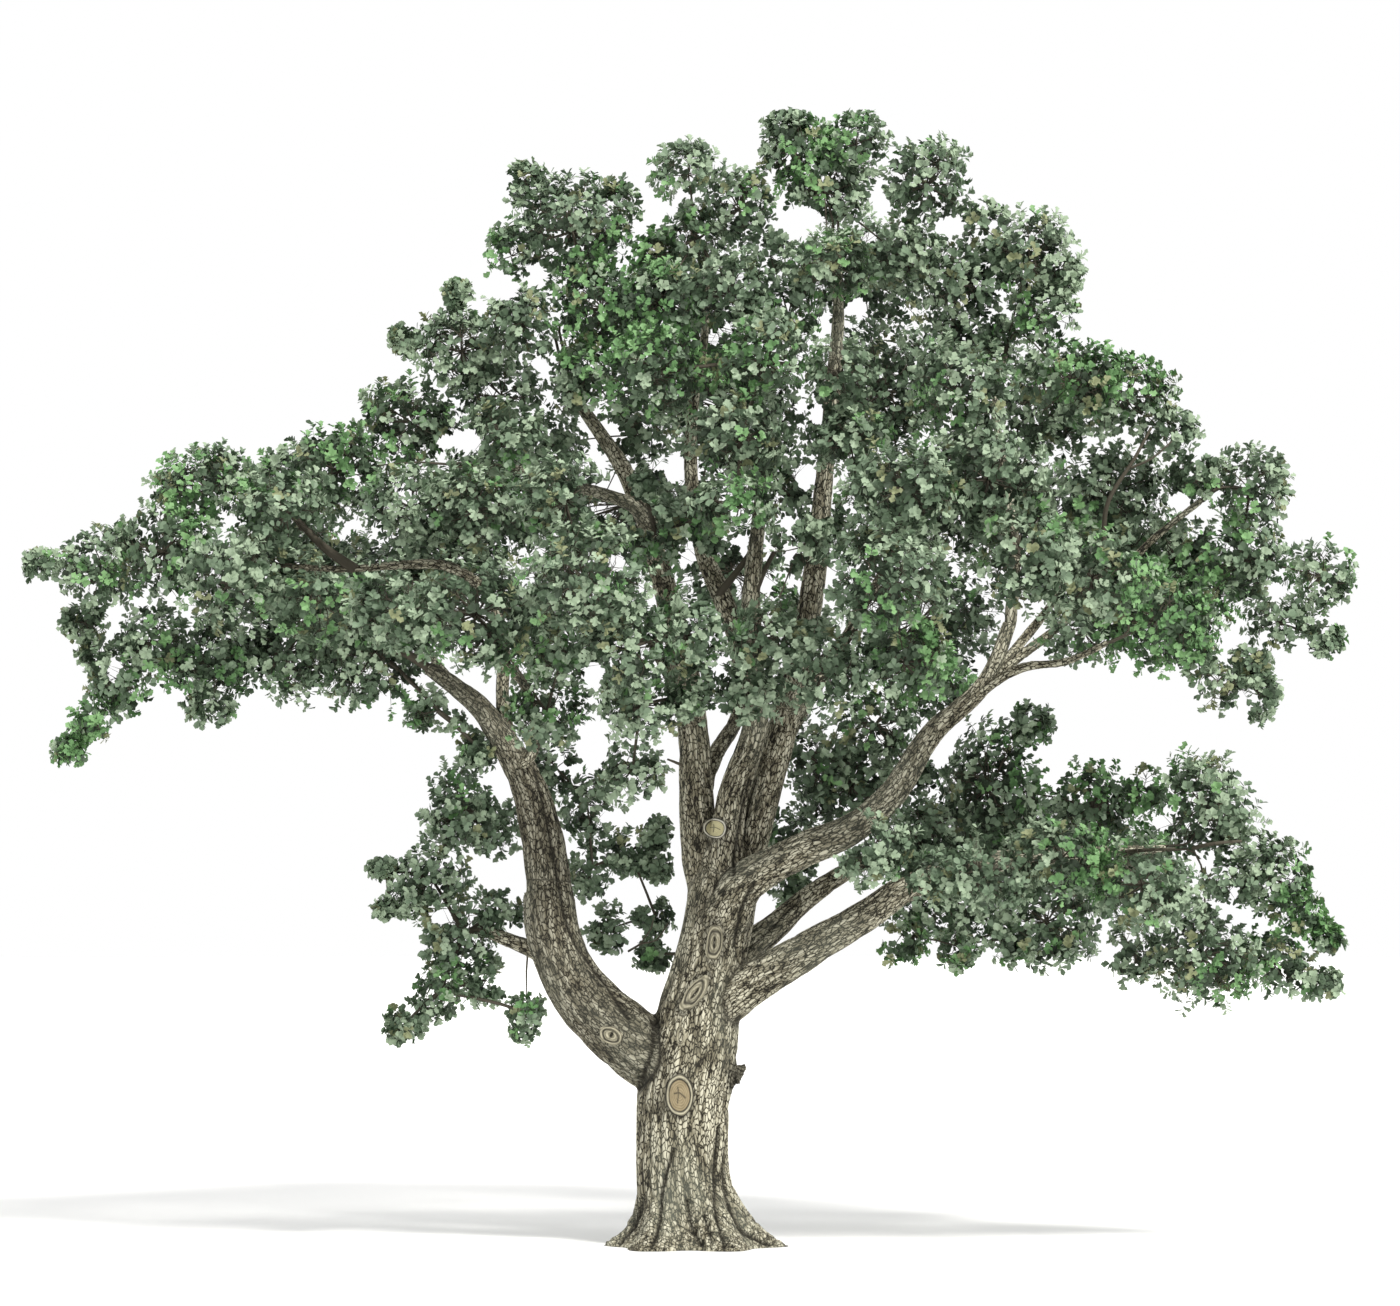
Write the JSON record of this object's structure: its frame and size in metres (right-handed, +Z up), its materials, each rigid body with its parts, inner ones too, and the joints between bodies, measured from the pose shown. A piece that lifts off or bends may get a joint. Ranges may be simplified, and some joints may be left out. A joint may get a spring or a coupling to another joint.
{
  "type": "oak tree",
  "caption": "Old open-grown oak tree, rooted at a flat cut, with a forked trunk, tapering boughs and a wide broken crown of leaf masses.",
  "frame": {"origin": "on the ground at the middle of the trunk's foot, on the flat cut that stands for ground level", "axes": "+Z up, +X to the right along the crown's widest spread, the front looks towards -Y"},
  "size_m": [23.4502, 13.4888, 19.9897],
  "materials": {
    "bark": "rough fissured bark",
    "foliage": "matt leaves"
  },
  "bodies": {
    "root": {"trunk": "bark", "left_limb_low": "bark", "left_limb_high": "bark", "left_bough_far": "bark", "left_bough_front": "bark", "left_bough_back": "bark", "low_left_branch": "bark", "stem_left": "bark", "stem_middle": "bark", "leader": "bark", "back_bough_left": "bark", "back_bough_right": "bark", "front_bough_left": "bark", "front_bough_right": "bark", "crest_bough_left": "bark", "side_bough_left": "bark", "crest_bough_mid": "bark", "right_bough_rise": "bark", "right_crest_bough": "bark", "right_bough_far": "bark", "right_bough_side": "bark", "right_bough_back": "bark", "right_bough_mid": "bark", "right_bough_low": "bark", "left_tip": "foliage", "left_under": "foliage", "left_heart": "foliage", "left_skirt": "foliage", "left_shoulder": "foliage", "left_mid": "foliage", "left_peak": "foliage", "top_left": "foliage", "top_middle": "foliage", "high_middle": "foliage", "top": "foliage", "top_right": "foliage", "right_crest": "foliage", "right_high": "foliage", "right_tip": "foliage", "right_mid": "foliage", "right_back": "foliage", "right_low": "foliage", "right_front": "foliage", "low_right_top": "foliage", "low_right_near": "foliage", "low_right_back": "foliage", "fork_right": "foliage", "low_right_end": "foliage", "low_right_under": "foliage", "back_left": "foliage", "back_high": "foliage", "back_right": "foliage", "back_top": "foliage", "left_back": "foliage", "front_left": "foliage", "front_face": "foliage", "front_right": "foliage", "left_front": "foliage", "low_left": "foliage", "inner_gap": "foliage"}
  },
  "joints": []
}
